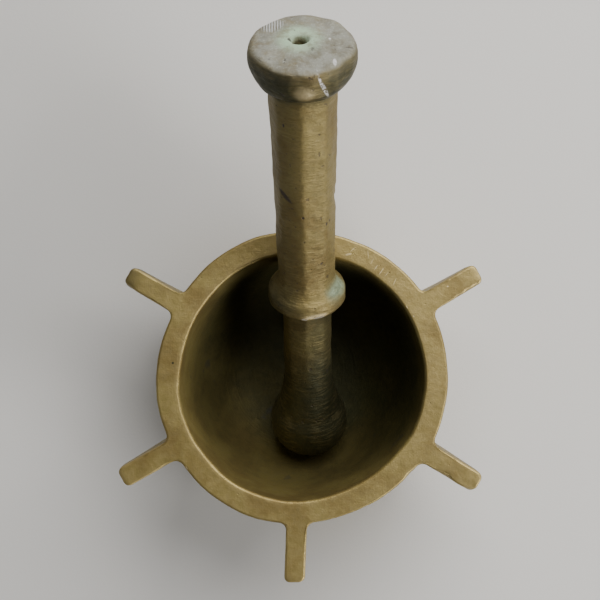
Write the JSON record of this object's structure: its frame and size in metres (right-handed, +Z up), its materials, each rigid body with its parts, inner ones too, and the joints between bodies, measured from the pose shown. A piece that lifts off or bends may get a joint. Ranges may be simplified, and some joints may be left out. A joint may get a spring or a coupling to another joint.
{
  "type": "mortar and pestle",
  "caption": "Ribbed cast-bronze hand mortar with a loose collared pestle, for crushing pills and dry drugs.",
  "frame": {"origin": "centre of the mortar's foot, on the surface it stands on", "axes": "+Z up along the mortar's axis; the pestle leans over the rim towards +Y; one rib points along -Y"},
  "size_m": [0.1496, 0.2235, 0.1667],
  "materials": {
    "mortar_bronze": "cast bronze, worn dull olive-brown, with brighter worn edges on the rim",
    "pestle_bronze": "cast and filed bronze, worn dull, with pale wear and green verdigris on the butt and collar"
  },
  "bodies": {
    "mortar": {"mortar_vessel": "mortar_bronze", "mortar_rib_1": "mortar_bronze", "mortar_rib_2": "mortar_bronze", "mortar_rib_3": "mortar_bronze", "mortar_rib_4": "mortar_bronze", "mortar_rib_5": "mortar_bronze", "mortar_rib_6": "mortar_bronze"},
    "pestle": {"pestle": "pestle_bronze"}
  },
  "joints": [
    {"name": "pestle_lift", "type": "slide", "parent": "mortar", "child": "pestle", "axis": [0, 0, 1], "range_m": [0, 0.075]}
  ]
}
